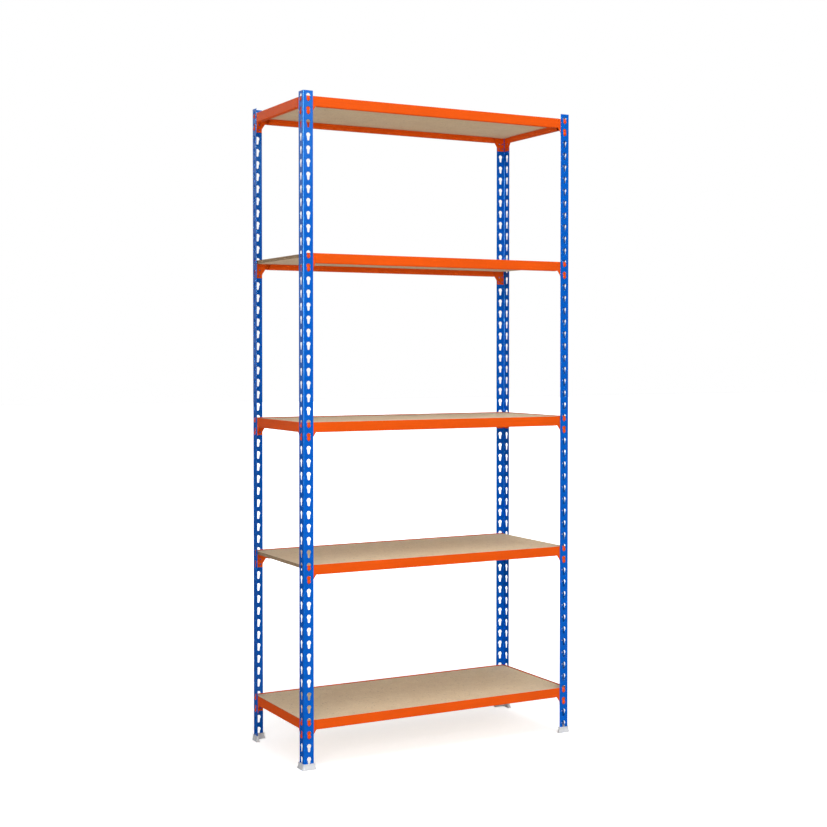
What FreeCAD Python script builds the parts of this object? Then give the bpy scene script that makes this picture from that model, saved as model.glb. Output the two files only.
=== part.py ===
"""Boltless steel shelving: four keyholed angle posts, hook-in beams on rivets, and five loose boards.

Row frame: origin on the floor under the middle of the unit, +X to the right, +Y to the back, +Z up.
"""
import FreeCAD, Part
import math
import os

# ---- Whole unit -----------------------------------------------------------------------------
WIDTH = 932.0            # over the outer faces of the posts, left to right
DEPTH = 392.0            # over the outer faces of the posts, front to back
PITCH = 38.1             # height from one keyhole to the next
KEYHOLES = 52            # in each leg of a post
POST_LENGTH = KEYHOLES * PITCH
SOLE = 8.0               # foot plastic under the end of a post
POST_TOP = SOLE + POST_LENGTH

# Each tier, from the floor up: the keyhole its upper rivets hang in, counted down from the top,
# and whether side beams close its ends
TIERS = {1: (48, True), 2: (36, False), 3: (25, True), 4: (12, False), 5: (0, True)}

# ---- Posts ----------------------------------------------------------------------------------
LEG = 32.0               # width of a post leg
POST_WALL = 1.5
POST_BEND = 4.0          # outside radius of the folded corner
HOLE_LINE = 17.0         # outer corner of a post to the keyhole column
FIRST_KEYHOLE = 8.0      # top of a post to the top of its first keyhole

HEAD_RADIUS = 6.5        # round upper end of a keyhole
NECK_HALF = 4.5          # half width where the slot leaves the round end
SLOT_END_RADIUS = 3.5    # half width at the foot of the slot
KEYHOLE_HEIGHT = 24.0

# ---- Rivets ---------------------------------------------------------------------------------
RIVET_SEAT = 16.5        # top of a keyhole to the centre of a seated rivet
RIVET_RADIUS = 5.75      # head
SHANK_RADIUS = 3.85      # shoulder that wedges in the tapered slot
TENON_RADIUS = 2.5       # reduced end through the bracket
TAIL_RADIUS = 3.2        # peened end
TAIL_THICK = 0.5
RIVET_RIM = 0.8          # straight side of the head
RIVET_DOME = 1.6         # rise of the head above its rim
RUNNING_GAP = 0.1        # between a post and each part that slides on it
PRESS_GAP = 0.05         # round a tenon, before it is peened

# ---- Brackets -------------------------------------------------------------------------------
BRACKET_THICK = 2.0
BRACKET_START = 5.5      # outer corner of the post to the near edge of the bracket
BRACKET_END = 42.0       # to its far edge, at the height of the rail
BRACKET_FOOT = 31.0      # to its far edge, at the bottom
BRACKET_HEIGHT = 56.0
BRACKET_KNEE = 45.0      # top of the beam to where its slanted edge turns upright
BRACKET_CURVE = 10.0     # radius of that turn
PEEP_RADIUS = 2.5        # small locating holes beside the lower rivet
PEEP_OFFSET = 6.0
PEEP_RISE = 16.0

# ---- Rails ----------------------------------------------------------------------------------
BEAM_DROP = 7.2          # top of the occupied keyhole to the top of the beam
RAIL_HEIGHT = 30.0
RAIL_WALL = 1.0
RAIL_BOX = 14.0          # depth of the closed lower part
RAIL_BEND = 3.0
LEDGE_DROP = 12.0        # top of the beam to the ledge the board lies on
SEAM_DROP = 20.5         # top of the beam to the lapped seam of the closed part
SEAM_LAP = 0.8           # how far the seam stands proud
RAIL_START = 38.0        # outer corner of the post to the end of the rail's face
BOX_START_LOW = 48.0     # the same for the closed part, at its bottom edge
BOX_START_HIGH = 57.0    # and at the ledge

# ---- Boards and feet ------------------------------------------------------------------------
BOARD_THICK = 10.0
BOARD_EDGE = 5.6         # outer faces of the posts to the edge of the board
BOARD_CORNER = 1.0

FOOT_HEIGHT = 18.0
WAIST_HEIGHT = 14.0
# Each level of a foot: outset past the post, reach along a leg, and inner face of the L
FOOT_BASE = (6.0, 39.0, 6.5)
FOOT_WAIST = (2.6, 35.0, 4.4)
FOOT_LIP = (3.4, 36.0, 5.2)
FOOT_LIP_TOP = (2.8, 35.4, 4.6)
LIP_CHAMFER = 0.8

# Faces of a beam, measured inwards from the outer face of the posts
BRACKET_OUT = POST_WALL + RUNNING_GAP
BRACKET_IN = BRACKET_OUT + BRACKET_THICK
RAIL_OUT = BRACKET_OUT - RAIL_WALL

# Rivet centres, measured down from the top of the beam
UPPER_RIVET = RIVET_SEAT - BEAM_DROP
LOWER_RIVET = UPPER_RIVET + PITCH

PAST = 5.0               # how far a cutting tool runs past the metal


def vector(x, y, z):
    return FreeCAD.Vector(x, y, z)


def rounded_wire(corners, to_space):
    """Closed wire through corners (a, b, radius); to_space turns (a, b) into a point."""
    flat = [FreeCAD.Vector(a, b, 0) for a, b, _ in corners]
    edges = []
    previous_end = None
    first_start = None
    for index, corner in enumerate(flat):
        radius = corners[index][2]
        before = (flat[index - 1] - corner).normalize()
        after = (flat[(index + 1) % len(flat)] - corner).normalize()
        half = before.getAngle(after) / 2
        setback = radius / math.tan(half)
        start = corner + before * setback
        end = corner + after * setback
        if previous_end is not None:
            edges.append(Part.LineSegment(to_space(*previous_end[:2]), to_space(*start[:2])))
        if radius:
            bisector = (before + after).normalize()
            middle = corner + bisector * (radius / math.sin(half) - radius)
            points = [to_space(*point[:2]) for point in (start, middle, end)]
            edges.append(Part.Arc(*points))
        first_start = first_start or start
        previous_end = end
    edges.append(Part.LineSegment(to_space(*previous_end[:2]), to_space(*first_start[:2])))
    return Part.Wire([edge.toShape() for edge in edges])


def prism(corners, to_space, run):
    """Solid swept by the vector run from a rounded outline."""
    return Part.Face(rounded_wire(corners, to_space)).extrude(run)


def on_floor(height):
    """Plan view at a height: (x, y) as they are."""
    return lambda x, y: vector(x, y, height)


def angle_section(gap, top, bottom):
    """Folded angle of a post, grown by gap on every face, with its outer corner at x = y = 0."""
    near, far, inner = -gap, LEG + gap, POST_WALL + gap
    corners = [(near, near, POST_BEND + gap), (far, near, 0), (far, inner, 0),
               (inner, inner, POST_BEND - POST_WALL - gap), (inner, far, 0), (near, far, 0)]
    return prism(corners, on_floor(bottom), vector(0, 0, top - bottom))


def keyhole_tool():
    """Cutter for one keyhole through a wall at y = 0, with its top at the origin."""
    neck = -HEAD_RADIUS - math.sqrt(HEAD_RADIUS ** 2 - NECK_HALF ** 2)
    end = -KEYHOLE_HEIGHT + SLOT_END_RADIUS
    near = -PAST
    left_neck, right_neck = vector(-NECK_HALF, near, neck), vector(NECK_HALF, near, neck)
    left_end, right_end = vector(-SLOT_END_RADIUS, near, end), vector(SLOT_END_RADIUS, near, end)
    edges = [Part.Arc(left_neck, vector(0, near, 0), right_neck),
             Part.LineSegment(right_neck, right_end),
             Part.Arc(right_end, vector(0, near, -KEYHOLE_HEIGHT), left_end),
             Part.LineSegment(left_end, left_neck)]
    wire = Part.Wire([edge.toShape() for edge in edges])
    return Part.Face(wire).extrude(vector(0, 2 * PAST, 0))


def post():
    """Front left post, with its outer corner at x = y = 0."""
    tools = []
    for row in range(KEYHOLES):
        tool = keyhole_tool()
        tool.translate(vector(HOLE_LINE, 0, POST_TOP - FIRST_KEYHOLE - row * PITCH))
        turned = tool.mirror(vector(0, 0, 0), vector(1, -1, 0))
        tools += [tool, turned]
    return angle_section(0, POST_TOP, SOLE).cut(Part.Compound(tools)).Solids[0]


def foot_wire(level, height):
    """L outline of a foot at one height."""
    outset, reach, inner = level
    corners = [(-outset, -outset, POST_BEND + outset), (reach, -outset, 1.5), (reach, inner, 1.5),
               (inner, inner, 1.0), (inner, reach, 1.5), (-outset, reach, 1.5)]
    return rounded_wire(corners, on_floor(height))


def foot():
    """Push-on foot of the front left post: a flared base, a waist and a lip round the socket."""
    body = Part.makeLoft([foot_wire(FOOT_BASE, 0), foot_wire(FOOT_WAIST, WAIST_HEIGHT)], True, True)
    collar = Part.Face(foot_wire(FOOT_LIP, WAIST_HEIGHT))
    chamfer_start = FOOT_HEIGHT - LIP_CHAMFER
    collar = collar.extrude(vector(0, 0, chamfer_start - WAIST_HEIGHT))
    top = Part.makeLoft([foot_wire(FOOT_LIP, chamfer_start), foot_wire(FOOT_LIP_TOP, FOOT_HEIGHT)],
                        True, True)
    socket = angle_section(RUNNING_GAP, FOOT_HEIGHT + PAST, SOLE)
    return body.fuse([collar, top]).cut(socket).Solids[0]


def at_corners(shape, left, right):
    """Copies of a front left corner piece at the named ends of the front: list of solids."""
    placed = shape.copy()
    placed.translate(vector(-WIDTH / 2, -DEPTH / 2, 0))
    copies = [placed] if left else []
    if right:
        copies.append(placed.mirror(vector(0, 0, 0), vector(1, 0, 0)))
    return copies


def to_back(shape):
    """Mirror image of a front piece at the back."""
    return shape.mirror(vector(0, 0, 0), vector(0, 1, 0))


def both_ends(shape):
    """A piece of a beam's left end and its mirror image at the right end."""
    return [shape, shape.mirror(vector(0, 0, 0), vector(1, 0, 0))]


def rail(span, reach):
    """Rolled rail: an upright face with a lip above a closed box, whose top is the board's ledge."""
    start = -span / 2
    inner = RAIL_OUT + RAIL_BOX
    seam_face = inner - SEAM_LAP
    wall_in = seam_face - RAIL_WALL

    def across(x):
        return lambda inward, height: vector(x, inward - reach, height)

    outside = [(RAIL_OUT, 0, 0.45), (BRACKET_OUT, 0, 0.45), (BRACKET_OUT, -LEDGE_DROP, 1.0),
               (seam_face, -LEDGE_DROP, 2.0), (seam_face, -SEAM_DROP, 0), (inner, -SEAM_DROP, 0.4),
               (inner, -RAIL_HEIGHT, RAIL_BEND), (RAIL_OUT, -RAIL_HEIGHT, RAIL_BEND)]
    roof, floor = -LEDGE_DROP - RAIL_WALL, -RAIL_HEIGHT + RAIL_WALL
    inside = [(BRACKET_OUT, roof, 1.0), (wall_in, roof, 1.0), (wall_in, floor, 2.0),
              (BRACKET_OUT, floor, 2.0)]
    length = span - 2 * RAIL_START
    body = prism(outside, across(start + RAIL_START), vector(length, 0, 0))
    hollow = prism(inside, across(start + RAIL_START - PAST), vector(length + 2 * PAST, 0, 0))

    slope = (BOX_START_HIGH - BOX_START_LOW) / (RAIL_HEIGHT - LEDGE_DROP)
    low, high = -RAIL_HEIGHT - PAST, PAST
    near = start + RAIL_START - PAST
    low_end = start + BOX_START_LOW - slope * PAST
    high_end = start + BOX_START_HIGH + slope * (LEDGE_DROP + PAST)
    corners = [(near, low, 0), (low_end, low, 0), (high_end, high, 0), (near, high, 0)]
    end_cut = prism(corners, lambda x, z: vector(x, BRACKET_OUT - reach, z),
                    vector(0, RAIL_BOX + PAST, 0))
    return body.cut([hollow] + both_ends(end_cut)).Solids[0]


def round_hole(x, inward, height, radius):
    """Cutter along Y for a hole in a bracket."""
    return Part.makeCylinder(radius, 2 * PAST, vector(x, inward - PAST, height), vector(0, 1, 0))


def bracket(span, reach):
    """Left end bracket: a plate behind the post's leg, welded to the back of the rail's face."""
    start = -span / 2
    corners = [(BRACKET_START, 0, 2.0), (BRACKET_END, 0, 0.5), (BRACKET_END, 1 - RAIL_HEIGHT, 0.5),
               (BRACKET_FOOT, -BRACKET_KNEE, BRACKET_CURVE), (BRACKET_FOOT, -BRACKET_HEIGHT, 2.0),
               (BRACKET_START, -BRACKET_HEIGHT, 2.0)]
    plate = prism(corners, lambda x, z: vector(start + x, BRACKET_OUT - reach, z),
                  vector(0, BRACKET_THICK, 0))
    column = start + HOLE_LINE
    middle = BRACKET_OUT - reach
    holes = [round_hole(column, middle, -drop, TENON_RADIUS + PRESS_GAP)
             for drop in (UPPER_RIVET, LOWER_RIVET)]
    for side in (-PEEP_OFFSET, PEEP_OFFSET):
        for rise in (0, PEEP_RISE):
            holes.append(round_hole(column + side, middle, rise - LOWER_RIVET, PEEP_RADIUS))
    return plate.cut(holes).Solids[0]


def rivet(x, reach, height):
    """Shouldered rivet: domed head outside the post, tenon peened over behind the bracket."""
    rim = -RUNNING_GAP - RIVET_RIM
    crown = rim - RIVET_DOME
    dome_radius = (RIVET_RADIUS ** 2 + RIVET_DOME ** 2) / (2 * RIVET_DOME)
    turn = math.asin(RIVET_RADIUS / dome_radius) / 2
    tail = BRACKET_IN + TAIL_THICK

    def at(radius, inward):
        return vector(x + radius, inward - reach, height)

    middle = at(dome_radius * math.sin(turn), crown + dome_radius * (1 - math.cos(turn)))
    dome = Part.Arc(at(0, crown), middle, at(RIVET_RADIUS, rim)).toShape()
    steps = [at(RIVET_RADIUS, rim), at(RIVET_RADIUS, -RUNNING_GAP), at(SHANK_RADIUS, -RUNNING_GAP),
             at(SHANK_RADIUS, BRACKET_OUT), at(TENON_RADIUS, BRACKET_OUT),
             at(TENON_RADIUS, BRACKET_IN), at(TAIL_RADIUS, BRACKET_IN), at(TAIL_RADIUS, tail),
             at(0, tail), at(0, crown)]
    profile = Part.Wire([dome] + Part.makePolygon(steps).Edges)
    return Part.Face(profile).revolve(at(0, 0), vector(0, 1, 0), 360)


def beam(span, reach):
    """The pieces of one beam across the front, with its top at z = 0, by kind."""
    column = HOLE_LINE - span / 2
    rivets = []
    for drop in (UPPER_RIVET, LOWER_RIVET):
        rivets += both_ends(rivet(column, reach, -drop))
    return {"rail": [rail(span, reach)], "brackets": both_ends(bracket(span, reach)),
            "rivets": rivets}


def board(ledge):
    """Chipboard panel lying on the ledges."""
    x, y = WIDTH / 2 - BOARD_EDGE, DEPTH / 2 - BOARD_EDGE
    corners = [(-x, -y, BOARD_CORNER), (x, -y, BOARD_CORNER), (x, y, BOARD_CORNER),
               (-x, y, BOARD_CORNER)]
    return prism(corners, on_floor(ledge), vector(0, 0, BOARD_THICK))


def save(name, solids):
    """One STEP file for a node."""
    shape = solids[0] if len(solids) == 1 else Part.Compound(solids)
    assert shape.isValid(), name
    shape.exportStep("parts/" + name + ".step")


def save_posts_and_feet():
    left_post, right_post = at_corners(post(), True, True)
    for side, front in (("left", left_post), ("right", right_post)):
        save("post_front_" + side, [front])
        save("post_back_" + side, [to_back(front)])
    front_feet = at_corners(foot(), True, True)
    save("feet_front", front_feet)
    save("feet_back", [to_back(one) for one in front_feet])


def save_tiers():
    # Each beam is built across the front and turned about the middle of the unit
    long_beam = beam(WIDTH, DEPTH / 2)
    side_beam = beam(DEPTH, WIDTH / 2)
    long_places = {"front": 0, "back": 180}
    side_places = {"right": 90, "left": 270}
    for tier, (row, has_sides) in TIERS.items():
        top = POST_TOP - FIRST_KEYHOLE - row * PITCH - BEAM_DROP
        groups = [(long_beam, long_places)]
        if has_sides:
            groups.append((side_beam, side_places))
        for pieces, places in groups:
            for place, turn in places.items():
                for kind, solids in pieces.items():
                    moved = [solid.rotated(vector(0, 0, 0), vector(0, 0, 1), turn)
                             .translated(vector(0, 0, top)) for solid in solids]
                    save(f"{kind}_{place}_{tier}", moved)
        save(f"board_{tier}", [board(top - LEDGE_DROP)])


os.makedirs("parts", exist_ok=True)
save_posts_and_feet()
save_tiers()
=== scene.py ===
"""Looks of the boltless steel shelving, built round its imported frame.

Every piece is made in millimetres and goes into the scene in metres. A post, a rail and so on are
each made once, at the front left or across the front, and placed by the boxes of the CAD nodes.
"""

import math

import bmesh
import bpy
from mathutils import Matrix, Vector, noise
from mathutils.geometry import tessellate_polygon


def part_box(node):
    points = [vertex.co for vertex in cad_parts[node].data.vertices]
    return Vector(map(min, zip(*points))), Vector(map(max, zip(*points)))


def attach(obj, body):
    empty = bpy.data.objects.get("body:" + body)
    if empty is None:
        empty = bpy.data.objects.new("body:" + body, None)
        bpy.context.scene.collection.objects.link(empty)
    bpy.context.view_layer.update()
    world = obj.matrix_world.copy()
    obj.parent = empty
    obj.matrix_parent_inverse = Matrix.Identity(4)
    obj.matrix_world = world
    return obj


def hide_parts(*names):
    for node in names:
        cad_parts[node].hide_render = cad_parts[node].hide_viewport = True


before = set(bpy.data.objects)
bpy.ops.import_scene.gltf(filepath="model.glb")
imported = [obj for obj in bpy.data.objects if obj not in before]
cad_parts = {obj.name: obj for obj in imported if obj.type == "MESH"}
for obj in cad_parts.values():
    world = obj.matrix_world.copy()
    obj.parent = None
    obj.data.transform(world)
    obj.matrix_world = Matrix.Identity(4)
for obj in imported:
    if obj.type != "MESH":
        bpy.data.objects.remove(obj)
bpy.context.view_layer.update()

MM = 0.001

# ---- Whole unit, from the frame, in millimetres ---------------------------------------------
OUTER_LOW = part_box("post_front_left")[0] / MM
OUTER_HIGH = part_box("post_back_right")[1] / MM
WIDTH = OUTER_HIGH.x - OUTER_LOW.x
DEPTH = OUTER_HIGH.y - OUTER_LOW.y
TIERS = [1, 2, 3, 4, 5]
SIDE_TIERS = [1, 3, 5]
TURNS = {"front": 0, "right": 90, "back": 180, "left": 270}

# ---- Posts ----------------------------------------------------------------------------------
PITCH = 38.1
LEG = 32.0
POST_WALL = 1.5
POST_BEND = 4.0
HOLE_LINE = 17.0         # outer corner of a post to the keyhole column
FIRST_KEYHOLE = 8.0
HEAD_RADIUS = 6.5
NECK_HALF = 4.5
SLOT_END_RADIUS = 3.5
KEYHOLE_HEIGHT = 24.0
HOLE_EDGE = 0.3          # rounding of a punched edge under the paint
FREE_EDGE = 0.4          # rounding of the slit edges of a leg
CUT_EDGE = 0.25          # rounding of the sawn ends of a post
WEAR_BAND = 0.9          # paint wears no further than this from an edge
FLAT_START = POST_BEND + WEAR_BAND
FLAT_END = LEG - FREE_EDGE - WEAR_BAND

# Points across and down the stretch of a leg round one keyhole, and round the keyhole itself
ACROSS, DOWN = 8, 14
HEAD_STEPS, SLOT_STEPS = 24, 16

# ---- Beams: inward distances are from the outer faces of the posts ---------------------------
BRACKET_OUT = 1.6
BRACKET_THICK = 2.0
BRACKET_IN = BRACKET_OUT + BRACKET_THICK
BRACKET_EDGE = 0.3
BRACKET_START = 5.5
BRACKET_FOOT = 31.0
BRACKET_END = 42.0
BRACKET_HEIGHT = 56.0
BRACKET_KNEE = 45.0
BRACKET_SHOULDER = 29.0
# Outline of a bracket, (along the beam, height over its top, radius), anticlockwise
BRACKET_OUTLINE = [(BRACKET_START, 0, 2.0), (BRACKET_START, -BRACKET_HEIGHT, 2.0),
                   (BRACKET_FOOT, -BRACKET_HEIGHT, 2.0), (BRACKET_FOOT, -BRACKET_KNEE, 10.0),
                   (BRACKET_END, -BRACKET_SHOULDER, 0.8), (BRACKET_END, 0, 0.8)]
PEEP_RADIUS = 2.5
PEEP_OFFSET = 6.0
PEEP_RISE = 16.0

UPPER_RIVET = 9.3
LOWER_RIVET = UPPER_RIVET + PITCH
RIVET_RADIUS = 5.75
SHANK_RADIUS = 3.85
TENON_RADIUS = 2.5
TAIL_RADIUS = 3.2
DISH_RADIUS = 1.2        # hollow that the riveting punch leaves in the tail

RAIL_OUT = BRACKET_OUT - 1.0
RAIL_HEIGHT = 30.0
RAIL_WALL = 1.0
RAIL_BOX = 14.0
RAIL_BEND = 3.0
RAIL_LIP = 0.45          # rounding of the rail's top edge
LEDGE_BEND = 1.0         # between the web and the ledge
SHOULDER_BEND = 2.0      # between the ledge and the back of the box
SEAM_BEND = 0.4
LEDGE_DROP = 12.0
SEAM_DROP = 20.5
SEAM_LAP = 0.8
RAIL_START = 38.0
BOX_START_LOW = 48.0
BOX_START_HIGH = 57.0

WELD_RADIUS = 1.5
WELD_OFFSET = 0.1        # middle of a bead, past the bracket's end and inwards
WELD_RIPPLE = 0.09
RIPPLE_SPACING = 1.7
WELD_RUNS = [(-3.0, -11.0), (-18.0, -27.0)]

# ---- Boards and feet ------------------------------------------------------------------------
BOARD_CORNER = 1.0
EDGE_STEP = 1.6          # spacing of the points along a board's sawn edge
CORE_PITS = 0.55         # depth of the open grain in the middle of the edge
FACE_PITS = 0.12         # the same close to the dense faces
BOARD_CHAMFER = 0.3
CORE_ROWS = 7

FOOT_HEIGHT = 18.0
WAIST_HEIGHT = 14.0
# Levels of a foot: outset past the post, reach along a leg, and inner face of the L
FOOT_BASE = (6.0, 39.0, 6.5)
FOOT_WAIST = (2.6, 35.0, 4.4)
FOOT_LIP = (3.4, 36.0, 5.2)
SOLE = 8.0
SOCKET_GAP = 0.1
FOOT_CORNER = 1.5
FOOT_NOOK = 1.0          # inner corner of the L
SOCKET_CORNER = 0.15
FOOT_STEPS = 5           # in each rounded corner


# ---- Outlines -------------------------------------------------------------------------------
def arc(centre, radius, start, end, steps):
    """Points (a, b) round part of a circle, from one angle to another, in degrees."""
    angles = [math.radians(start + (end - start) * step / steps) for step in range(steps + 1)]
    return [(centre[0] + radius * math.cos(angle), centre[1] + radius * math.sin(angle))
            for angle in angles]


def circle(centre, radius, steps):
    return arc(centre, radius, 0, 360, steps)[:-1]


def between(start, end, steps):
    """Evenly spaced points from start up to, and without, end."""
    return [tuple(a + (b - a) * step / steps for a, b in zip(start, end)) for step in range(steps)]


def rounded(corners, steps):
    """Outline through corners (a, b, radius), each rounded by an arc of that many steps."""
    outline = []
    for index, (a, b, radius) in enumerate(corners):
        corner = Vector((a, b))
        before = (Vector(corners[index - 1][:2]) - corner).normalized()
        after = (Vector(corners[(index + 1) % len(corners)][:2]) - corner).normalized()
        half = before.angle(after) / 2
        centre = corner + (before + after).normalized() * radius / math.sin(half)
        first = corner + before * radius / math.tan(half) - centre
        last = corner + after * radius / math.tan(half) - centre
        start = math.degrees(math.atan2(first.y, first.x))
        turn = (math.degrees(math.atan2(last.y, last.x)) - start + 180) % 360 - 180
        outline += arc(centre, radius, start, start + turn, steps)
    return outline


def shrunk(corners, inset):
    """The same anticlockwise corners with every edge moved inwards."""
    moved = []
    for index, (a, b, radius) in enumerate(corners):
        corner = Vector((a, b))
        arriving = (corner - Vector(corners[index - 1][:2])).normalized()
        leaving = (Vector(corners[(index + 1) % len(corners)][:2]) - corner).normalized()
        inwards = Vector((-arriving.y - leaving.y, arriving.x + leaving.x))
        corner += inwards * inset / (1 + arriving.dot(leaving))
        grow = -inset if arriving.cross(leaving) > 0 else inset
        moved.append((corner.x, corner.y, radius + grow))
    return moved


def edge_steps(soft, steps=2):
    """(depth, inset) pairs round a quarter circle, from the rim of a face to its side."""
    angles = [math.pi / 2 * step / steps for step in range(steps + 1)]
    return [(soft * (1 - math.cos(angle)), soft * (1 - math.sin(angle))) for angle in angles]


def through(thick, soft):
    """(depth, inset) pairs from the worn band of one face of a sheet to that of the other."""
    near = [(0.0, soft + WEAR_BAND)] + edge_steps(soft)
    return near + [(thick - depth, inset) for depth, inset in reversed(near)]


# ---- Meshes ---------------------------------------------------------------------------------
class Skin:
    """Surface of one solid, in millimetres, laid between outlines. Equal points are shared."""

    def __init__(self):
        self.order = {}
        self.faces = []

    def face(self, places):
        corners = []
        for place in places:
            key = tuple(round(value, 4) for value in place)
            corner = self.order.setdefault(key, len(self.order))
            if corner not in corners:
                corners.append(corner)
        if len(corners) > 2:
            self.faces.append(corners)

    def band(self, first, second, closed=True):
        """Quads between two outlines with the same number of points."""
        count = len(first)
        for here in range(count if closed else count - 1):
            after = (here + 1) % count
            self.face([first[here], first[after], second[after], second[here]])

    def bands(self, outlines, closed=True):
        for first, second in zip(outlines, outlines[1:]):
            self.band(first, second, closed)

    def cap(self, outline, *holes):
        """Flat face inside an outline and round its holes."""
        loops = [[Vector(place) for place in loop] for loop in (outline, *holes)]
        places = [place for loop in loops for place in loop]
        for corners in tessellate_polygon(loops):
            self.face([places[corner] for corner in corners])


def placed_mesh(name, parts):
    """Mesh in metres of (skin, matrix) parts, with every face turned outwards."""
    mesh = bpy.data.meshes.new(name)
    vertices = []
    faces = []
    for skin, matrix in parts:
        start = len(vertices)
        vertices += [(matrix @ Vector(place)) * MM for place in skin.order]
        faces += [[start + corner for corner in face] for face in skin.faces]
    mesh.from_pydata(vertices, [], faces)
    shape = bmesh.new()
    shape.from_mesh(mesh)
    bmesh.ops.recalc_face_normals(shape, faces=shape.faces)
    shape.to_mesh(mesh)
    shape.free()
    mesh.shade_smooth()
    mesh.set_sharp_from_angle(angle=math.radians(50))
    return mesh


def add_piece(name, parts, materials, body, slot, *nodes):
    """One visible piece, riding on a body and standing for CAD nodes."""
    mesh = placed_mesh(name, parts)
    for material in materials:
        mesh.materials.append(material)
    piece = bpy.data.objects.new(name, mesh)
    bpy.context.scene.collection.objects.link(piece)
    flats = piece.modifiers.new("flat faces stay flat", "WEIGHTED_NORMAL")
    flats.keep_sharp = True
    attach(piece, body)
    if nodes:
        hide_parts(*nodes)
    return piece


# ---- Posts ----------------------------------------------------------------------------------
def keyhole(grow):
    """Keyhole outline, (across, height) from the middle of its top, grown outwards."""
    head, neck_half, end = HEAD_RADIUS + grow, NECK_HALF + grow, SLOT_END_RADIUS + grow
    neck = math.degrees(math.asin(neck_half / head))
    round_end = arc((0, -HEAD_RADIUS), head, 270 - neck, neck - 90, HEAD_STEPS)
    slot_end = arc((0, SLOT_END_RADIUS - KEYHOLE_HEIGHT), end, 0, -180, SLOT_STEPS)
    return (round_end[:-1] + between(round_end[-1], slot_end[0], 2)
            + slot_end[:-1] + between(slot_end[-1], round_end[0], 2))


def stretch_rim(top, bottom):
    """Rim of the flat of a leg round one keyhole, with the keyhole's number of points."""
    corners = [(FLAT_START, top), (FLAT_END, top), (FLAT_END, bottom), (FLAT_START, bottom)]
    rim = []
    for index, steps in enumerate((ACROSS, DOWN, ACROSS, DOWN)):
        rim += between(corners[index], corners[(index + 1) % 4], steps)
    # The keyhole's outline starts at its left neck, so the rim starts part way up its left edge
    return rim[-ACROSS:] + rim[:-ACROSS]


def free_edge(inset):
    """Slit edge of a leg, (along, depth), from its outer face to its inner face."""
    middle, radius = LEG - FREE_EDGE, FREE_EDGE - inset
    return (arc((middle, FREE_EDGE), radius, -90, 0, 2)
            + arc((middle, POST_WALL - FREE_EDGE), radius, 0, 90, 2))


def post_section(inset):
    """Outline of the folded sheet, (x, y), drawn in from every face."""
    middle = [along for along, in between((FLAT_START,), (FLAT_END,), ACROSS)]
    flat = [POST_BEND] + middle + [FLAT_END]
    outer = [(along, inset) for along in flat]
    inner = [(along, POST_WALL - inset) for along in flat]
    leg = outer + free_edge(inset) + inner[::-1]
    fold = (POST_BEND, POST_BEND)
    inner_fold = arc(fold, POST_BEND - POST_WALL + inset, 270, 180, ACROSS)[1:-1]
    outer_fold = arc(fold, POST_BEND - inset, 180, 270, ACROSS)[1:-1]
    return leg + inner_fold + [(y, x) for x, y in reversed(leg)] + outer_fold


def post_skin(length):
    """Folded angle with a keyhole in each leg every PITCH, its outer corner at x = y = 0."""
    skin = Skin()
    rows = round(length / PITCH)
    fold = (POST_BEND, POST_BEND)
    slit = [(FLAT_END, 0)] + free_edge(0) + [(FLAT_END, POST_WALL)]
    strips = [slit, [(y, x) for x, y in slit]]
    for depth in (0, POST_WALL):
        bend = arc(fold, POST_BEND - depth, 180, 270, ACROSS)
        strips.append([(depth, FLAT_START)] + bend + [(FLAT_START, depth)])
    legs = [lambda along, depth, z: (along, depth, z), lambda along, depth, z: (depth, along, z)]
    for row in range(rows):
        top, bottom = length - row * PITCH, length - (row + 1) * PITCH
        hole_top = top - FIRST_KEYHOLE
        if row == 0:
            top -= CUT_EDGE
        if row == rows - 1:
            bottom += CUT_EDGE
        rim = stretch_rim(top, bottom)
        for leg in legs:
            holes = [[leg(HOLE_LINE + across, depth, hole_top + z) for across, z in keyhole(inset)]
                     for depth, inset in through(POST_WALL, HOLE_EDGE)]
            outer = [leg(along, 0, z) for along, z in rim]
            inner = [leg(along, POST_WALL, z) for along, z in rim]
            skin.bands([outer, *holes, inner])
        heights = [z for z, in between((top,), (bottom,), DOWN)] + [bottom]
        for strip in strips:
            skin.bands([[(x, y, z) for x, y in strip] for z in heights], closed=False)
    for end, way in ((length, -1), (0, 1)):
        levels = [[(x, y, end + way * depth) for x, y in post_section(inset)]
                  for depth, inset in edge_steps(CUT_EDGE)]
        skin.bands(levels)
        skin.cap(levels[0])
    return skin


def at_corner(side, place):
    """Matrix that takes a front left corner piece to a corner of the unit."""
    x, x_way = (OUTER_LOW.x, 1) if side == "left" else (OUTER_HIGH.x, -1)
    y, y_way = (OUTER_LOW.y, 1) if place == "front" else (OUTER_HIGH.y, -1)
    return Matrix.Translation((x, y, 0)) @ Matrix.Diagonal((x_way, y_way, 1, 1))


def add_posts(paint):
    low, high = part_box("post_front_left")
    skin = post_skin((high.z - low.z) / MM)
    lift = Matrix.Translation((0, 0, low.z / MM))
    for place in ("front", "back"):
        for side in ("left", "right"):
            node = f"post_{place}_{side}"
            add_piece(node + "_sheet", [(skin, at_corner(side, place) @ lift)], [paint],
                      "posts", "post_paint", node)


# ---- Feet -----------------------------------------------------------------------------------
def foot_outline(level, height, inset=0.0):
    """Outline of the L at a level such as FOOT_BASE, drawn in by inset."""
    outset, reach, inner = level
    corners = [(-outset, -outset, POST_BEND + outset), (reach, -outset, FOOT_CORNER),
               (reach, inner, FOOT_CORNER), (inner, inner, FOOT_NOOK),
               (inner, reach, FOOT_CORNER), (-outset, reach, FOOT_CORNER)]
    return [(x, y, height) for x, y in rounded(shrunk(corners, inset), FOOT_STEPS)]


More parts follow.
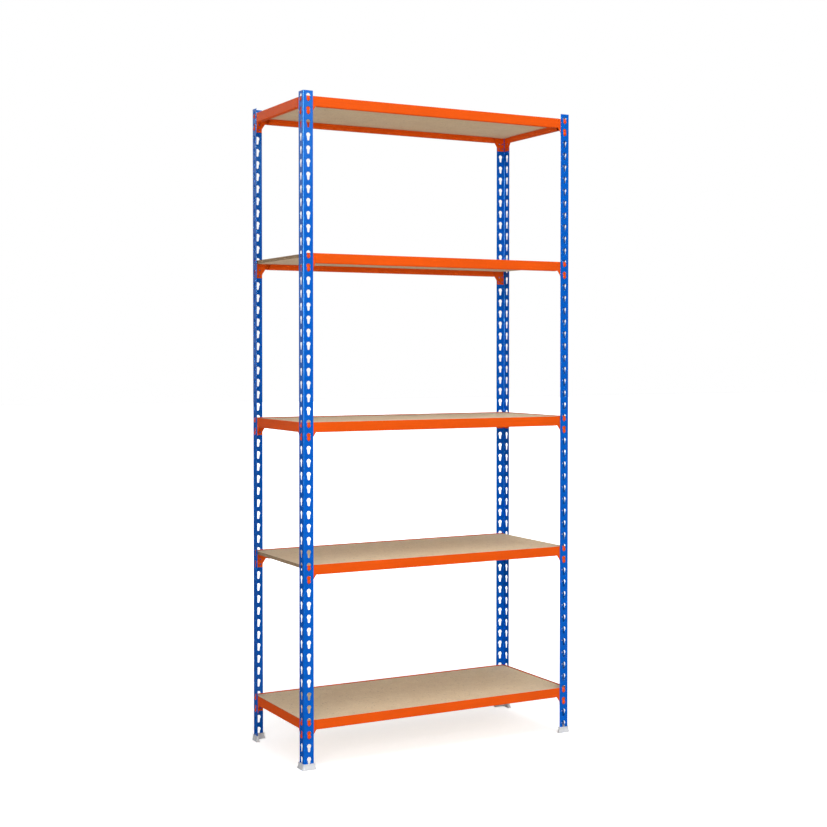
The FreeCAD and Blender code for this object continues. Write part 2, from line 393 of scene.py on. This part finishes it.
def socket_outline(gap, height):
    """Opening round a post, as many points as the foot's own outline."""
    near, far, inner = -gap, LEG + gap, POST_WALL + gap
    corners = [(near, near, POST_BEND + gap), (far, near, SOCKET_CORNER),
               (far, inner, SOCKET_CORNER), (inner, inner, POST_BEND - inner),
               (inner, far, SOCKET_CORNER), (near, far, SOCKET_CORNER)]
    return [(x, y, height) for x, y in rounded(corners, FOOT_STEPS)]


def foot_skin():
    """Push-on foot: a base that flares in a hollow curve, a waist, and a lip round the socket."""
    base_edge, lip_edge, fine_edge, lip_gap = 0.8, 0.7, 0.3, 0.05
    hollowness = 1.4
    levels = [foot_outline(FOOT_BASE, depth, inset) for depth, inset in edge_steps(base_edge, 3)]
    flare_steps = 8
    for step in range(1, flare_steps + 1):
        share = step / flare_steps
        eased = 1 - (1 - share) ** hollowness
        level = [base + (waist - base) * eased for base, waist in zip(FOOT_BASE, FOOT_WAIST)]
        levels.append(foot_outline(level, base_edge + (WAIST_HEIGHT - base_edge) * share))
    for depth, inset in edge_steps(fine_edge):
        levels.append(foot_outline(FOOT_LIP, WAIST_HEIGHT + lip_gap + depth, inset))
    for depth, inset in reversed(edge_steps(lip_edge, 3)):
        levels.append(foot_outline(FOOT_LIP, FOOT_HEIGHT - depth, inset))
    for depth, inset in edge_steps(fine_edge):
        levels.append(socket_outline(SOCKET_GAP + inset, FOOT_HEIGHT - depth))
    levels.append(socket_outline(SOCKET_GAP, SOLE))
    skin = Skin()
    skin.bands(levels)
    skin.cap(levels[0])
    skin.cap(levels[-1])
    return skin


def add_feet(plastic):
    skin = foot_skin()
    for place in ("front", "back"):
        parts = [(skin, at_corner(side, place)) for side in ("left", "right")]
        node = "feet_" + place
        add_piece(node + "_moulded", parts, [plastic], "posts", "foot_plastic", node)


# ---- Beams ----------------------------------------------------------------------------------
def rail_skin(span):
    """Rolled rail, (x, inward, z) with its top at z = 0: an upright web above a closed box.

    The web runs the whole length, and the ends of the box are cut back on a slant.
    """
    skin = Skin()
    half = span / 2 - RAIL_START
    slope = (BOX_START_HIGH - BOX_START_LOW) / (RAIL_HEIGHT - LEDGE_DROP)

    def slant(z):
        return span / 2 - BOX_START_LOW - slope * (z + RAIL_HEIGHT)

    inner = RAIL_OUT + RAIL_BOX
    seam_face = inner - SEAM_LAP
    wall_in = seam_face - RAIL_WALL
    roof, floor = -LEDGE_DROP - RAIL_WALL, RAIL_WALL - RAIL_HEIGHT
    low_front = (RAIL_OUT + RAIL_BEND, RAIL_BEND - RAIL_HEIGHT)
    split = 180 + math.degrees(math.acos((low_front[0] - BRACKET_OUT) / RAIL_BEND))
    ledge_z = LEDGE_BEND - LEDGE_DROP
    back_bend, low_bend = SHOULDER_BEND - RAIL_WALL, RAIL_BEND - RAIL_WALL

    web = (arc(low_front, RAIL_BEND, split, 180, 5)
           + [(RAIL_OUT, low_front[1] + WEAR_BAND), (RAIL_OUT, -RAIL_LIP - WEAR_BAND)]
           + arc((RAIL_OUT + RAIL_LIP, -RAIL_LIP), RAIL_LIP, 180, 90, 3)
           + arc((BRACKET_OUT - RAIL_LIP, -RAIL_LIP), RAIL_LIP, 90, 0, 3)
           + [(BRACKET_OUT, -RAIL_LIP - WEAR_BAND), (BRACKET_OUT, ledge_z)])
    box = (arc((BRACKET_OUT + LEDGE_BEND, ledge_z), LEDGE_BEND, 180, 270, 4)
           + arc((seam_face - SHOULDER_BEND, -LEDGE_DROP - SHOULDER_BEND), SHOULDER_BEND, 90, 0, 6)
           + [(seam_face, -SEAM_DROP)]
           + arc((inner - SEAM_BEND, -SEAM_DROP - SEAM_BEND), SEAM_BEND, 90, 0, 3)
           + arc((inner - RAIL_BEND, low_front[1]), RAIL_BEND, 0, -90, 8)
           + arc(low_front, RAIL_BEND, 270, split, 5))
    hollow = (arc((BRACKET_OUT + LEDGE_BEND, roof - LEDGE_BEND), LEDGE_BEND, 180, 90, 4)
              + arc((wall_in - back_bend, roof - back_bend), back_bend, 90, 0, 4)
              + arc((wall_in - low_bend, floor + low_bend), low_bend, 0, -90, 6)
              + arc((BRACKET_OUT + low_bend, floor + low_bend), low_bend, 270, 180, 6))

    def long_row(point):
        inward, z = point
        row = [(x, inward, z) for x in (half, half - WEAR_BAND, slant(z))]
        return [(-x, inward, z) for x, inward, z in row] + row[::-1]

    def box_row(point):
        inward, z = point
        return [(x, inward, z) for x in (-slant(z), slant(z))]

    ends = slice(None, 3), slice(3, None)  # the two halves of a long row, left and right
    skin.bands([long_row(point) for point in web], closed=False)
    skin.band(long_row(hollow[-1]), long_row(hollow[0]), closed=False)
    skin.bands([box_row(point) for point in box], closed=False)
    skin.bands([box_row(point) for point in hollow], closed=False)
    for first, second in ((web[-1], hollow[0]), (hollow[-1], web[0])):
        for end in ends:
            skin.band(long_row(first)[end], long_row(second)[end], closed=False)
    for way in (-1, 1):
        skin.cap([(way * half, *point) for point in web + [hollow[0], hollow[-1]]])
        skin.cap([(way * slant(z), inward, z) for inward, z in box + hollow[::-1]])
    return skin


def bracket_skin(span):
    """Left end bracket: a flat plate with two tenon holes and four peep holes."""
    skin = Skin()
    shift = -span / 2
    holes = [((HOLE_LINE, -drop), TENON_RADIUS) for drop in (UPPER_RIVET, LOWER_RIVET)]
    for offset in (-PEEP_OFFSET, PEEP_OFFSET):
        for rise in (0, PEEP_RISE):
            holes.append(((HOLE_LINE + offset, rise - LOWER_RIVET), PEEP_RADIUS))
    levels = through(BRACKET_THICK, BRACKET_EDGE)
    corner_steps, hole_steps = 6, 28

    def raised(outline, depth):
        return [(shift + along, BRACKET_OUT + depth, z) for along, z in outline]

    rims = [raised(rounded(shrunk(BRACKET_OUTLINE, inset), corner_steps), depth)
            for depth, inset in levels]
    skin.bands(rims)
    rings = []
    for centre, radius in holes:
        rings.append([raised(circle(centre, radius + inset / 2, hole_steps), depth)
                      for depth, inset in levels])
        skin.bands(rings[-1])
    skin.cap(rims[0], *[ring[0] for ring in rings])
    skin.cap(rims[-1], *[ring[-1] for ring in rings])
    return skin


def rivet_skin(along, z):
    """Shouldered rivet through the post and the bracket: domed head, tapered tail."""
    rim, crown, head_back = -0.9, -2.5, -0.1
    rim_gap = 3              # degrees of the dome given up to the round edge of its rim
    bulge = rim - crown
    dome = (RIVET_RADIUS ** 2 + bulge ** 2) / (2 * bulge)
    tilt = math.degrees(math.asin(RIVET_RADIUS / dome))
    side, tail_edge, tail_rise, tail_back, dish_back = 0.25, 0.3, 0.2, 0.42, 0.36
    profile = arc((0, crown + dome), dome, -90, tilt - 90 - rim_gap, 9)
    profile += arc((RIVET_RADIUS - side, rim + side), side, -60, 0, 3)
    profile += arc((RIVET_RADIUS - side, head_back - side), side, 0, 90, 3)
    profile += [(SHANK_RADIUS, head_back), (SHANK_RADIUS, BRACKET_OUT), (TENON_RADIUS, BRACKET_OUT),
                (TENON_RADIUS, BRACKET_IN), (TAIL_RADIUS, BRACKET_IN)]
    profile += arc((TAIL_RADIUS - tail_edge, BRACKET_IN + tail_rise), tail_edge, 0, 90, 3)
    profile += [(DISH_RADIUS, BRACKET_IN + tail_back), (0, BRACKET_IN + dish_back)]
    steps = 40
    rings = [[(x, depth, height) for x, height in circle((along, z), radius, steps)]
             for radius, depth in profile]
    skin = Skin()
    skin.bands(rings)
    return skin


def weld_skin(span, top, bottom):
    """Rippled bead in the corner between a bracket's end and the back of the rail's web."""
    skin = Skin()
    rings = []
    steps = 36
    for step in range(steps + 1):
        share = step / steps
        swell = math.sqrt(max(1 - (2 * share - 1) ** 6, 0.0))
        waves = share * abs(top - bottom) / RIPPLE_SPACING
        ripple = 1 + WELD_RIPPLE * math.sin(2 * math.pi * waves)
        radius = WELD_RADIUS * swell * ripple
        z = top + (bottom - top) * share
        centre = (BRACKET_END - span / 2 + WELD_OFFSET, BRACKET_OUT + WELD_OFFSET)
        rings.append([(x, inward, z) for x, inward in circle(centre, radius, 14)])
    skin.bands(rings)
    return skin


def add_beam(place, tier, span, reach, rail, paint, rivet_paint):
    """The pieces of one beam; reach is from the middle of the unit to the posts' outer faces."""
    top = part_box(f"rail_{place}_{tier}")[1].z / MM
    turn = Matrix.Rotation(math.radians(TURNS[place]), 4, "Z")
    here = turn @ Matrix.Translation((0, -reach, top))
    ends = [here, here @ Matrix.Diagonal((-1, 1, 1, 1))]
    label = f"{place}_{tier}"
    body = f"beam_{label}"

    add_piece(f"rail_{label}_sheet", [(rail, here)], [paint], body, "beam_paint", f"rail_{label}")
    plate = bracket_skin(span)
    add_piece(f"brackets_{label}_plates", [(plate, end) for end in ends], [paint], body,
              "beam_paint", f"brackets_{label}")
    rivets = [rivet_skin(HOLE_LINE - span / 2, -drop) for drop in (UPPER_RIVET, LOWER_RIVET)]
    add_piece(f"rivets_{label}_set", [(rivet, end) for end in ends for rivet in rivets],
              [rivet_paint], body, "rivet_paint", f"rivets_{label}")
    beads = [weld_skin(span, *run) for run in WELD_RUNS]
    add_piece(f"welds_{label}_beads", [(bead, end) for end in ends for bead in beads], [paint],
              body, "beam_paint")


def add_beams(paint, rivet_paint):
    long_rail, side_rail = rail_skin(WIDTH), rail_skin(DEPTH)
    for tier in TIERS:
        for place in ("front", "back"):
            add_beam(place, tier, WIDTH, DEPTH / 2, long_rail, paint, rivet_paint)
    for tier in SIDE_TIERS:
        for place in ("left", "right"):
            add_beam(place, tier, DEPTH, WIDTH / 2, side_rail, paint, rivet_paint)


# ---- Boards ---------------------------------------------------------------------------------
def board_rim(low, high):
    """Points round a board with the way outwards at each: list of ((x, y), (way x, way y))."""
    rim = []
    x_mid, y_mid = (low.x + high.x) / 2, (low.y + high.y) / 2
    x_half, y_half = (high.x - low.x) / 2 - BOARD_CORNER, (high.y - low.y) / 2 - BOARD_CORNER
    corners = [(1, 1), (-1, 1), (-1, -1), (1, -1)]
    for index, (x_way, y_way) in enumerate(corners):
        centre = (x_mid + x_way * x_half, y_mid + y_way * y_half)
        ways = arc((0, 0), 1, index * 90, index * 90 + 90, 3)
        rim += [((centre[0] + BOARD_CORNER * a, centre[1] + BOARD_CORNER * b), (a, b))
                for a, b in ways]
        next_x, next_y = corners[(index + 1) % 4]
        start = rim[-1][0]
        end = (x_mid + next_x * x_half + BOARD_CORNER * ways[-1][0],
               y_mid + next_y * y_half + BOARD_CORNER * ways[-1][1])
        steps = round(math.dist(start, end) / EDGE_STEP)
        rim += [(point, ways[-1]) for point in between(start, end, steps)[1:]]
    return rim


def pit_depth(x, y, z, pits):
    """How far the sawn edge is torn back at a point: fine grain over coarser chunks."""
    grain_long, grain_high = 2.6, 1.5
    chunk_long, chunk_high, chunk_shift = 7.0, 3.0, 40.0
    grain = noise.noise(Vector((x / grain_long, y / grain_long, z / grain_high)))
    chunk = noise.noise(Vector((x / chunk_long, y / chunk_long, z / chunk_high + chunk_shift)))
    return pits * min(max(0.35 + 0.65 * grain + 0.5 * chunk, 0.0), 1.0)


def board_skin(low, high):
    """Chipboard panel with sawn edges: crisp at its dense faces, open-grained between them."""
    skin = Skin()
    rim = board_rim(low, high)
    thick = high.z - low.z
    rows = [(0.0, BOARD_CHAMFER, FACE_PITS), (BOARD_CHAMFER, 0.0, FACE_PITS)]
    for row in range(1, CORE_ROWS):
        share = row / CORE_ROWS
        rows.append((BOARD_CHAMFER + (thick - 2 * BOARD_CHAMFER) * share, 0.0,
                     FACE_PITS + (CORE_PITS - FACE_PITS) * math.sin(math.pi * share)))
    rows += [(thick - z, inset, pits) for z, inset, pits in reversed(rows[:2])]
    outlines = []
    for height, inset, pits in rows:
        z = low.z + height
        outline = []
        for (x, y), (x_way, y_way) in rim:
            back = inset + pit_depth(x, y, z, pits)
            outline.append((x - x_way * back, y - y_way * back, z))
        outlines.append(outline)
    skin.bands(outlines)
    skin.face(outlines[0])
    skin.face(outlines[-1])
    return skin


def add_boards(face, edge):
    for tier in TIERS:
        node = f"board_{tier}"
        low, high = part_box(node)
        piece = add_piece(node + "_chipboard", [(board_skin(low / MM, high / MM), Matrix())],
                          [face, edge], node + "_panel", "chipboard", node)
        for polygon in piece.data.polygons:
            polygon.material_index = 0 if abs(polygon.normal.z) > 0.9 else 1


# ---- Materials ------------------------------------------------------------------------------
class Finish:
    """The nodes of a material, whose patterns are laid in the unit's own metres, or of a world."""

    def __init__(self, owner, shader="Principled BSDF", coordinates="Object"):
        owner.use_nodes = True
        self.tree = owner.node_tree
        self.shader = self.tree.nodes[shader]
        self.place = self.tree.nodes.new("ShaderNodeTexCoord").outputs[coordinates]

    def node(self, kind, inputs, **settings):
        node = self.tree.nodes.new(kind)
        for key, value in settings.items():
            setattr(node, key, value)
        for key, value in inputs.items():
            self.feed(node.inputs[key], value)
        return node

    def feed(self, socket, value):
        if isinstance(value, bpy.types.NodeSocket):
            self.tree.links.new(value, socket)
        else:
            socket.default_value = value

    def set(self, key, value):
        self.feed(self.shader.inputs[key], value)

    def noise(self, size, detail=2.0, roughness=0.5, stretch=(1, 1, 1)):
        """Soft noise from 0 to 1 with features of that size in metres."""
        place = self.node("ShaderNodeMapping", {"Vector": self.place, "Scale": stretch})
        return self.node("ShaderNodeTexNoise", {
            "Vector": place.outputs["Vector"], "Scale": 1 / size, "Detail": detail,
            "Roughness": roughness}).outputs["Fac"]

    def grains(self, size, stretch=(1, 1, 1), output="Color"):
        """Cells of that size in metres, each with its own colour."""
        place = self.node("ShaderNodeMapping", {"Vector": self.place, "Scale": stretch})
        return self.node("ShaderNodeTexVoronoi", {
            "Vector": place.outputs["Vector"], "Scale": 1 / size, "Randomness": 1.0}).outputs[output]

    def span(self, value, low, high, to_low=0.0, to_high=1.0):
        """value from low..high, as to_low..to_high."""
        return self.node("ShaderNodeMapRange", {
            "Value": value, "From Min": low, "From Max": high,
            "To Min": to_low, "To Max": to_high}).outputs["Result"]

    def blend(self, factor, first, second):
        """first where the factor is 0, second where it is 1."""
        mix = self.node("ShaderNodeMix", {}, data_type="RGBA")
        self.feed(mix.inputs[0], factor)
        self.feed(mix.inputs[6], first)
        self.feed(mix.inputs[7], second)
        return mix.outputs[2]

    def math(self, operation, first, second):
        node = self.node("ShaderNodeMath", {}, operation=operation)
        self.feed(node.inputs[0], first)
        self.feed(node.inputs[1], second)
        return node.outputs[0]

    def bump(self, height, depth, strength=1.0, under=None):
        """Relief of that depth in metres, over another relief."""
        node = self.node("ShaderNodeBump", {
            "Height": height, "Distance": depth, "Strength": strength})
        if under:
            self.feed(node.inputs["Normal"], under)
        return node.outputs["Normal"]

    def edges(self, low, high):
        """1 on the sharp outer edges, 0 on flats."""
        sharp = self.node("ShaderNodeNewGeometry", {}).outputs["Pointiness"]
        return self.span(sharp, low, high)


def scaled(colour, factor):
    """A colour made lighter or darker."""
    return tuple(min(channel * factor, 1) for channel in colour[:3]) + (1,)


def powder_coat(name, colour, worn, roughness, specular, glint, along):
    """Baked powder paint: orange peel, drifts of tone, faint rolling marks, rubs along the edges.

    glint is the colour of its reflections. along is how much the marks are drawn out in x, y and z:
    they run with the steel's rolling.
    """
    material = bpy.data.materials.new(name)
    finish = Finish(material)
    drift = finish.noise(0.16, 3.0, 0.55)
    cloud = finish.noise(0.011, 4.0, 0.6)
    tone = finish.blend(finish.span(drift, 0.3, 0.7), scaled(colour, 0.9), colour)
    tone = finish.blend(finish.span(cloud, 0.5, 0.8, 0.0, 0.5), tone, scaled(colour, 1.06))
    marks = finish.noise(0.0035, 3.0, 0.6, along)
    tone = finish.blend(finish.span(marks, 0.42, 0.7, 0.0, 0.6), tone, scaled(colour, 0.86))
    rubs = finish.math("MULTIPLY", finish.edges(0.55, 0.66), finish.span(cloud, 0.42, 0.62))
    tone = finish.blend(finish.math("MULTIPLY", rubs, 0.4), tone, worn)
    finish.set("Base Color", tone)

    scuffs = finish.noise(0.004, 3.0, 0.6, (1, 1, 0.16))
    patches = finish.span(finish.noise(0.09, 2.0), 0.52, 0.68)
    scuffs = finish.math("MULTIPLY", finish.span(scuffs, 0.58, 0.72), patches)
    gloss = finish.span(cloud, 0.3, 0.7, roughness - 0.05, roughness + 0.06)
    finish.set("Roughness", finish.math("ADD", gloss, finish.math("MULTIPLY", scuffs, 0.12)))
    finish.set("Specular IOR Level", specular)
    finish.set("Specular Tint", glint)
    rolled = finish.bump(marks, 0.00003, 0.5)
    peel = finish.bump(finish.noise(0.0021, 2.0, 0.45), 0.00003, 0.6, rolled)
    finish.set("Normal", finish.bump(finish.noise(0.0004, 2.0), 0.000005, 0.5, peel))
    return material


def chipboard_face():
    """Sanded face of the board: fine pressed dust with flakes and specks showing through."""
    material = bpy.data.materials.new("chipboard face")
    finish = Finish(material)
    flakes = finish.grains(0.0034, (1, 0.55, 1))
    low_darkening = finish.grains(0.0011)
    cloud = finish.noise(0.05, 4.0, 0.6)
    fine = finish.noise(0.0016, 4.0, 0.65)
    tone = finish.blend(finish.span(cloud, 0.3, 0.7), (0.77, 0.58, 0.355, 1), (0.85, 0.67, 0.435, 1))
    flake = finish.node("ShaderNodeSeparateColor", {"Color": flakes}).outputs["Red"]
    grain = finish.node("ShaderNodeSeparateColor", {"Color": low_darkening}).outputs["Green"]
    tone = finish.blend(finish.span(flake, 0.0, 1.0, 0.0, 0.30), tone, (0.50, 0.35, 0.215, 1))
    tone = finish.blend(finish.span(grain, 0.0, 1.0, 0.0, 0.28), tone, (0.84, 0.70, 0.53, 1))
    specks = finish.span(flake, 0.965, 0.985)
    tone = finish.blend(finish.math("MULTIPLY", specks, 0.3), tone, (0.25, 0.15, 0.08, 1))
    tone = finish.blend(finish.span(fine, 0.35, 0.7, 0.0, 0.4), tone, (0.76, 0.60, 0.44, 1))
    finish.set("Base Color", tone)
    finish.set("Roughness", finish.span(fine, 0.3, 0.7, 0.62, 0.8))
    finish.set("Specular IOR Level", 0.25)
    relief = finish.bump(flake, 0.00006, 0.35)
    finish.set("Normal", finish.bump(fine, 0.00012, 0.5, relief))
    return material


def chipboard_edge():
    """Sawn edge of the board: coarse chips, with painted shade in the gaps between them in the core.
    """
    material = bpy.data.materials.new("chipboard edge")
    finish = Finish(material)
    chips = finish.grains(0.0042, (1, 1, 2.2))
    gaps = finish.grains(0.0042, (1, 1, 2.2), "Distance")
    fine = finish.noise(0.0013, 4.0, 0.7)
    chip = finish.node("ShaderNodeSeparateColor", {"Color": chips}).outputs["Red"]
    tone = finish.blend(chip, (0.30, 0.195, 0.115, 1), (0.52, 0.375, 0.235, 1))
    # Painted shade: the gaps between the chips are darkened in colour
    tone = finish.blend(finish.span(gaps, 0.45, 0.85, 0.0, 0.75), tone, (0.13, 0.075, 0.038, 1))
    tone = finish.blend(finish.span(fine, 0.4, 0.7, 0.0, 0.5), tone, (0.24, 0.15, 0.08, 1))
    finish.set("Base Color", tone)
    finish.set("Roughness", 0.85)
    finish.set("Specular IOR Level", 0.15)
    relief = finish.bump(gaps, 0.0004, 0.6)
    finish.set("Normal", finish.bump(fine, 0.0003, 0.7, relief))
    return material


def foot_plastic():
    """Pale moulded plastic: a fine spark-eroded grain, darker in patches towards the bottom."""
    material = bpy.data.materials.new("foot plastic")
    finish = Finish(material)
    cloud = finish.noise(0.012, 3.0, 0.6)
    grain = finish.noise(0.0007, 2.0)
    tone = finish.blend(finish.span(cloud, 0.3, 0.7), (0.66, 0.67, 0.69, 1), (0.76, 0.77, 0.79, 1))
    height = finish.node("ShaderNodeSeparateXYZ", {"Vector": finish.place}).outputs["Z"]
    # Darker in patches over the lowest 6 mm, towards the floor
    low_darkening = finish.math("MULTIPLY", finish.span(height, 0.006, 0.0), finish.span(cloud, 0.4, 0.6))
    tone = finish.blend(finish.math("MULTIPLY", low_darkening, 0.35), tone, (0.42, 0.40, 0.37, 1))
    finish.set("Base Color", tone)
    finish.set("Roughness", finish.span(grain, 0.3, 0.7, 0.42, 0.56))
    finish.set("Specular IOR Level", 0.4)
    finish.set("Subsurface Weight", 0.06)
    finish.set("Subsurface Radius", (0.003, 0.003, 0.003))
    finish.set("Normal", finish.bump(grain, 0.00002, 0.6))
    return material


# ---- Stage ----------------------------------------------------------------------------------
def add_floor():
    """Pale floor that glows for the camera alone: painted light that pales its shadows and turns
    white with distance.
    """
    size = 30.0
    mesh = bpy.data.meshes.new("floor")
    mesh.from_pydata([(-size, -size, 0), (size, -size, 0), (size, size, 0), (-size, size, 0)], [],
                     [(0, 1, 2, 3)])
    floor = bpy.data.objects.new("floor", mesh)
    bpy.context.scene.collection.objects.link(floor)
    material = bpy.data.materials.new("studio floor")
    finish = Finish(material)
    rays = finish.node("ShaderNodeLightPath", {}).outputs
    tone = finish.blend(finish.noise(0.8, 3.0), (0.84, 0.84, 0.84, 1), (0.88, 0.88, 0.88, 1))
    # Painted shade: seen in reflections, the floor is near black
    tone = finish.blend(rays["Is Glossy Ray"], tone, (0.05, 0.05, 0.05, 1))
    finish.set("Base Color", tone)
    finish.set("Roughness", finish.span(finish.noise(0.3, 2.0), 0.3, 0.7, 0.75, 0.85))
    finish.set("Specular IOR Level", 0.1)
    away = finish.node("ShaderNodeVectorMath", {0: finish.place}, operation="LENGTH").outputs["Value"]
    # Painted light: for camera rays the floor glows, from 0.62 near the unit to 1.0 at 3 m, paling
    # the shadows on it
    painted_glow = finish.math("MULTIPLY", rays["Is Camera Ray"], finish.span(away, 0.6, 3.0, 0.62, 1.0))
    finish.set("Emission Color", (1, 1, 1, 1))
    finish.set("Emission Strength", painted_glow)
    mesh.materials.append(material)


def add_world():
    """White backdrop. It lights the unit from the front and, less, from behind the top right.

    A bright strip on the left is for reflections alone: it draws a line down the posts' bends.
    """
    world = bpy.data.worlds.new("studio")
    bpy.context.scene.world = world
    finish = Finish(world, "Background", "Generated")
    rays = finish.node("ShaderNodeLightPath", {}).outputs
    ways = finish.node("ShaderNodeSeparateXYZ", {"Vector": finish.place}).outputs

    def facing(way):
        return finish.node("ShaderNodeVectorMath", {0: finish.place, 1: way},
                           operation="DOT_PRODUCT").outputs["Value"]

    soft = finish.math("ADD", finish.span(facing((0.35, -0.88, 0.32)), -0.7, 1.0, 0.0, 0.78),
                       finish.span(facing((0.45, 0.65, 0.6)), 0.1, 1.0, 0.0, 0.16))
    mirrored = finish.math("MULTIPLY", finish.span(ways["Y"], -0.1, 0.9, 0.02, 1.0),
                           finish.span(ways["Z"], 0.09, 0.17, 0.42, 0.95))
    strip = finish.math("MULTIPLY", finish.span(ways["Y"], -0.72, -0.62),
                        finish.span(ways["X"], -0.6, -0.7))
    strip = finish.math("MULTIPLY", strip, finish.span(ways["Y"], -0.3, -0.15, 27.0, 0.0))
    strip = finish.math("MULTIPLY", strip, finish.span(ways["Z"], -0.08, 0.04, 0.3, 1.0))
    level = finish.blend(rays["Is Glossy Ray"], soft, finish.math("ADD", mirrored, strip))
    finish.set("Color", (1, 1, 1, 1))
    finish.set("Strength", finish.blend(rays["Is Camera Ray"], level, (1, 1, 1, 1)))


def add_softbox(name, place, target, width, height, power):
    lamp = bpy.data.lights.new(name, "AREA")
    lamp.shape = "RECTANGLE"
    lamp.size, lamp.size_y = width, height
    lamp.energy = power
    softbox = bpy.data.objects.new(name, lamp)
    softbox.location = place
    softbox.rotation_euler = (Vector(target) - Vector(place)).to_track_quat("-Z", "Y").to_euler()
    bpy.context.scene.collection.objects.link(softbox)


def add_camera():
    """Nearly level camera to the left of the front, a little above the middle tier."""
    data = bpy.data.cameras.new("camera")
    data.lens = 63.033
    data.shift_y = -0.037
    camera = bpy.data.objects.new("camera", data)
    camera.location = (-2.1822, -4.0663, 1.2211)
    camera.rotation_euler = (math.radians(90 - 1.138), 0, math.radians(-28.265))
    bpy.context.scene.collection.objects.link(camera)
    bpy.context.scene.camera = camera


def add_stage():
    add_floor()
    add_world()
    add_softbox("front softbox", (-1.3, -5.0, 1.4), (0, 0, 0.8), 2.2, 2.4, 26)
    add_softbox("top softbox", (0.4, -1.4, 4.6), (0, 0, 1.0), 2.4, 1.8, 56)
    add_softbox("left softbox", (-3.0, -3.1, 1.9), (-0.4, -0.2, 1.4), 1.4, 1.9, 42)
    add_softbox("right softbox", (1.3, -4.3, 2.9), (-0.45, -0.2, 1.7), 0.45, 1.2, 5)
    add_camera()
    bpy.context.scene.view_settings.view_transform = "Standard"


blue = powder_coat("blue powder coat", (0.0, 0.122, 0.63, 1), (0.10, 0.30, 0.80, 1), 0.2, 0.7,
                   (0.3, 0.75, 1.0, 1), (1, 1, 0.02))
orange = powder_coat("orange powder coat", (0.89, 0.098, 0.001, 1), (0.95, 0.22, 0.05, 1), 0.36,
                     0.22, (1.0, 0.8, 0.6, 1), (0.02, 0.02, 1))
rivet_orange = powder_coat("rivet paint", (0.89, 0.085, 0.002, 1), (0.95, 0.25, 0.08, 1), 0.3,
                           0.15, (1.0, 0.8, 0.6, 1), (1, 1, 1))
add_posts(blue)
add_feet(foot_plastic())
add_beams(orange, rivet_orange)
add_boards(chipboard_face(), chipboard_edge())
add_stage()
